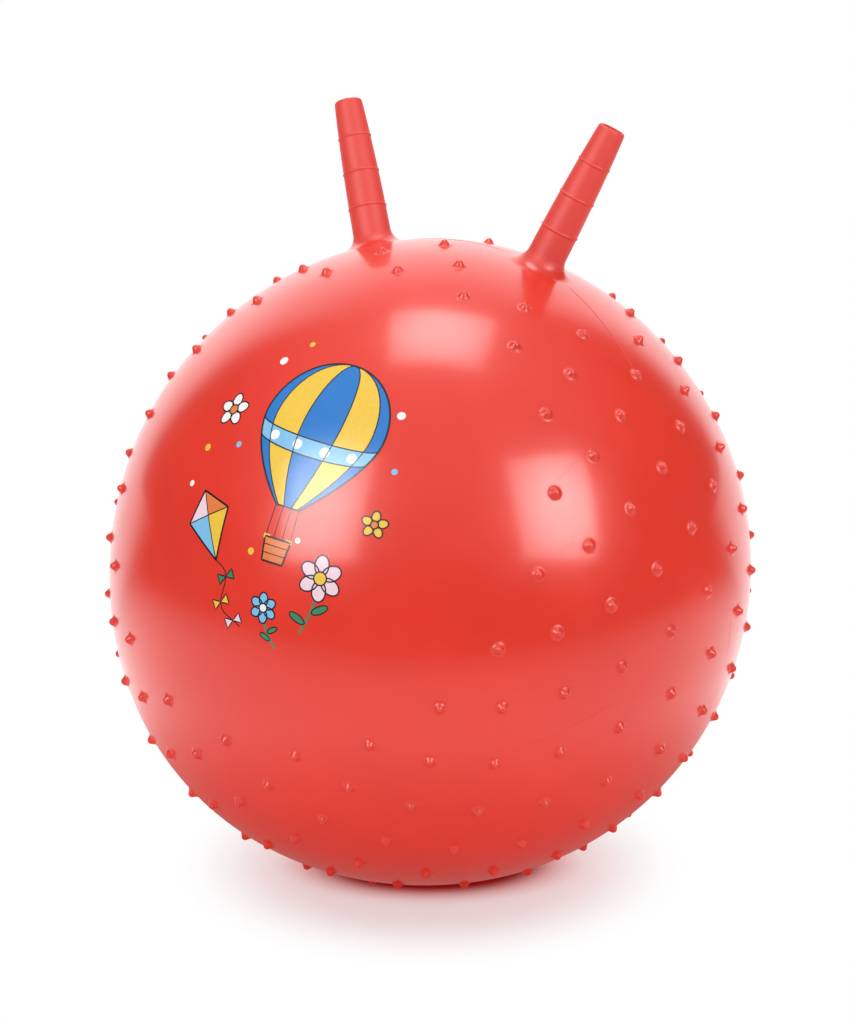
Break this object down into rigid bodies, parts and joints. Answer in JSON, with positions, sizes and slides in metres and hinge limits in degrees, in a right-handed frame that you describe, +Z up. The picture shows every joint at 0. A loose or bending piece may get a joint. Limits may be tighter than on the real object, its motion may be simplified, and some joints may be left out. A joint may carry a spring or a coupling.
{
  "type": "hopper ball",
  "caption": "Inflatable riding ball of glossy soft plastic with two tapered grip horns that bend at their roots, a field of grip nubs and a push-in valve plug.",
  "frame": {"origin": "middle of the flat patch that the ball rests on, on the floor", "axes": "+Z up, -Y towards the front panel, +X towards the right horn"},
  "size_m": [0.4565, 0.4498, 0.5377],
  "materials": {
    "skin_pvc": "gloss",
    "insert_pvc": "satin",
    "plug_plastic": "satin"
  },
  "bodies": {
    "ball": {"ball_skin": "skin_pvc", "nub_ring_1": "skin_pvc", "nub_ring_2": "skin_pvc", "nub_ring_3": "skin_pvc", "nub_ring_4": "skin_pvc", "nub_ring_5": "skin_pvc", "nub_ring_6": "skin_pvc", "nub_ring_7": "skin_pvc", "nub_ring_8": "skin_pvc", "nub_ring_9": "skin_pvc", "nub_ring_10": "skin_pvc", "nub_ring_11": "skin_pvc", "nub_ring_12": "skin_pvc", "valve_insert": "insert_pvc"},
    "left_horn": {"left_horn": "skin_pvc"},
    "right_horn": {"right_horn": "skin_pvc"},
    "plug": {"valve_plug": "plug_plastic"}
  },
  "joints": [
    {"name": "left_horn_bend", "type": "hinge", "parent": "ball", "child": "left_horn", "pos_m": [-0.06969, 0.0359, 0.44238], "axis": [0.9291, 0.0578, 0.3652], "range_deg": [-20, 20], "stiffness_Nm_per_rad": 2},
    {"name": "right_horn_bend", "type": "hinge", "parent": "ball", "child": "right_horn", "pos_m": [0.06969, 0.0359, 0.44238], "axis": [0.9291, -0.0578, -0.3652], "range_deg": [-20, 20], "stiffness_Nm_per_rad": 2},
    {"name": "valve_plug_pull", "type": "slide", "parent": "ball", "child": "plug", "axis": [0, 0.8829, -0.4695], "range_m": [0, 0.016]}
  ]
}
